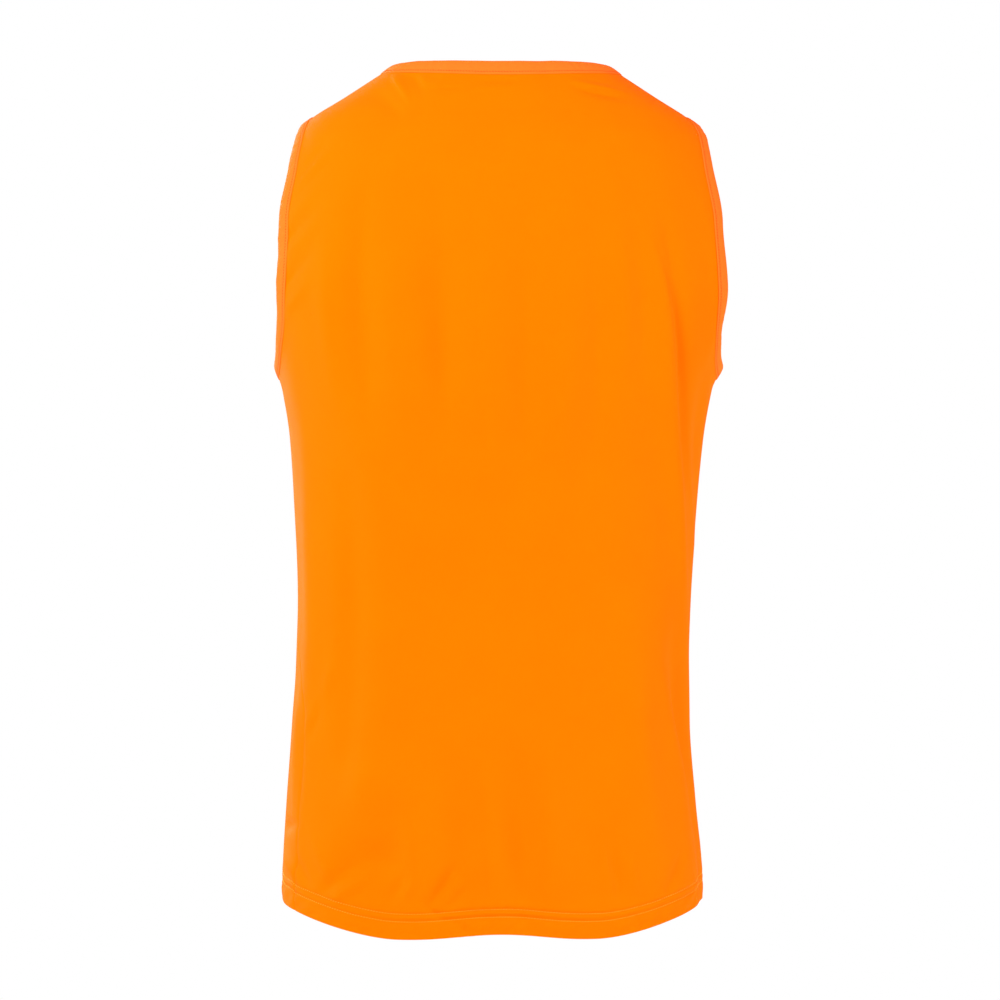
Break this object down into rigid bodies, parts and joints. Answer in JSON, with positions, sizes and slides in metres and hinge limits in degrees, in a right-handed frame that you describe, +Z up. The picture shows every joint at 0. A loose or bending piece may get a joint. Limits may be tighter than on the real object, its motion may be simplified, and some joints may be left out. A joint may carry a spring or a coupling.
{
  "type": "training bib",
  "caption": "Sleeveless knitted training bib with bound neck and armholes, filled out as when worn, open at neck, armholes and hem.",
  "frame": {"origin": "midway between the two shoulder seams, at the middle of the shoulders' slope, where the wearer's shoulders hold the bib up", "axes": "+Z up along the body, +Y towards the back panel (the wearer faces -Y), +X to the wearer's left"},
  "size_m": [0.3723, 0.2341, 0.7131],
  "materials": {
    "bib_knit": "smooth fluorescent orange polyester knit with a slight satin sheen",
    "bib_binding": "folded strip of the same orange knit, finely stitched"
  },
  "bodies": {
    "root": {"back_panel": "bib_knit", "front_panel": "bib_knit", "neck_binding": "bib_binding", "armhole_binding_left": "bib_binding", "armhole_binding_right": "bib_binding"}
  },
  "joints": []
}
